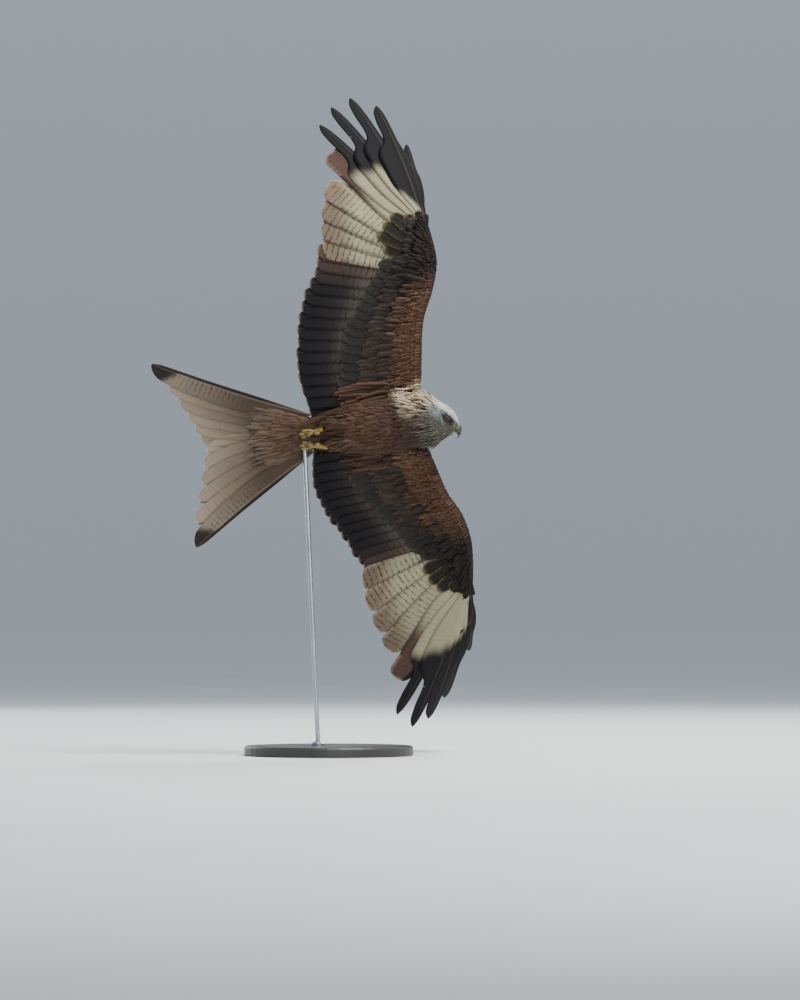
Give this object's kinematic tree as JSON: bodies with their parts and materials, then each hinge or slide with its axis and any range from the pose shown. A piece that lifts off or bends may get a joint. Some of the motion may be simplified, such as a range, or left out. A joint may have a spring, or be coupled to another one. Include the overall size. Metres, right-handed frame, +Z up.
{
  "type": "red kite bird, flying, on a display stand",
  "caption": "Life-size red kite in banked soaring flight, wings spread and forked tail fanned, held by a steel rod on a flat round base.",
  "frame": {"origin": "middle of the underside of the round base", "axes": "+Z up, +X to the side that the bird flies to, -Y to the viewer who sees its belly"},
  "size_m": [0.7344, 0.6031, 1.5099],
  "materials": {
    "feather_dark": "matte dark flight and wing feathers",
    "feather_rufous": "soft rufous-brown body feathers with dark streaks",
    "feather_tail": "rufous tail feathers with fine dark bars",
    "feather_head": "pale grey, finely streaked head feathers",
    "feather_neck": "buff neck feathers with dark streaks",
    "bill": "smooth black horn with a yellow cere",
    "skin": "yellow scaled skin with black claws",
    "eye": "wet, pale amber eye",
    "base_finish": "satin charcoal powder coat",
    "rod_steel": "brushed stainless steel"
  },
  "bodies": {
    "root": {"torso": "feather_rufous", "neck": "feather_neck", "head": "feather_head", "bill_upper": "bill", "bill_lower": "bill", "eye_left": "eye", "eye_right": "eye", "tail": "feather_tail", "wing_left": "feather_dark", "wing_right": "feather_dark", "thigh_left": "feather_rufous", "thigh_right": "feather_rufous", "foot_left": "skin", "foot_right": "skin", "stand_base": "base_finish", "stand_rod": "rod_steel"}
  },
  "joints": []
}
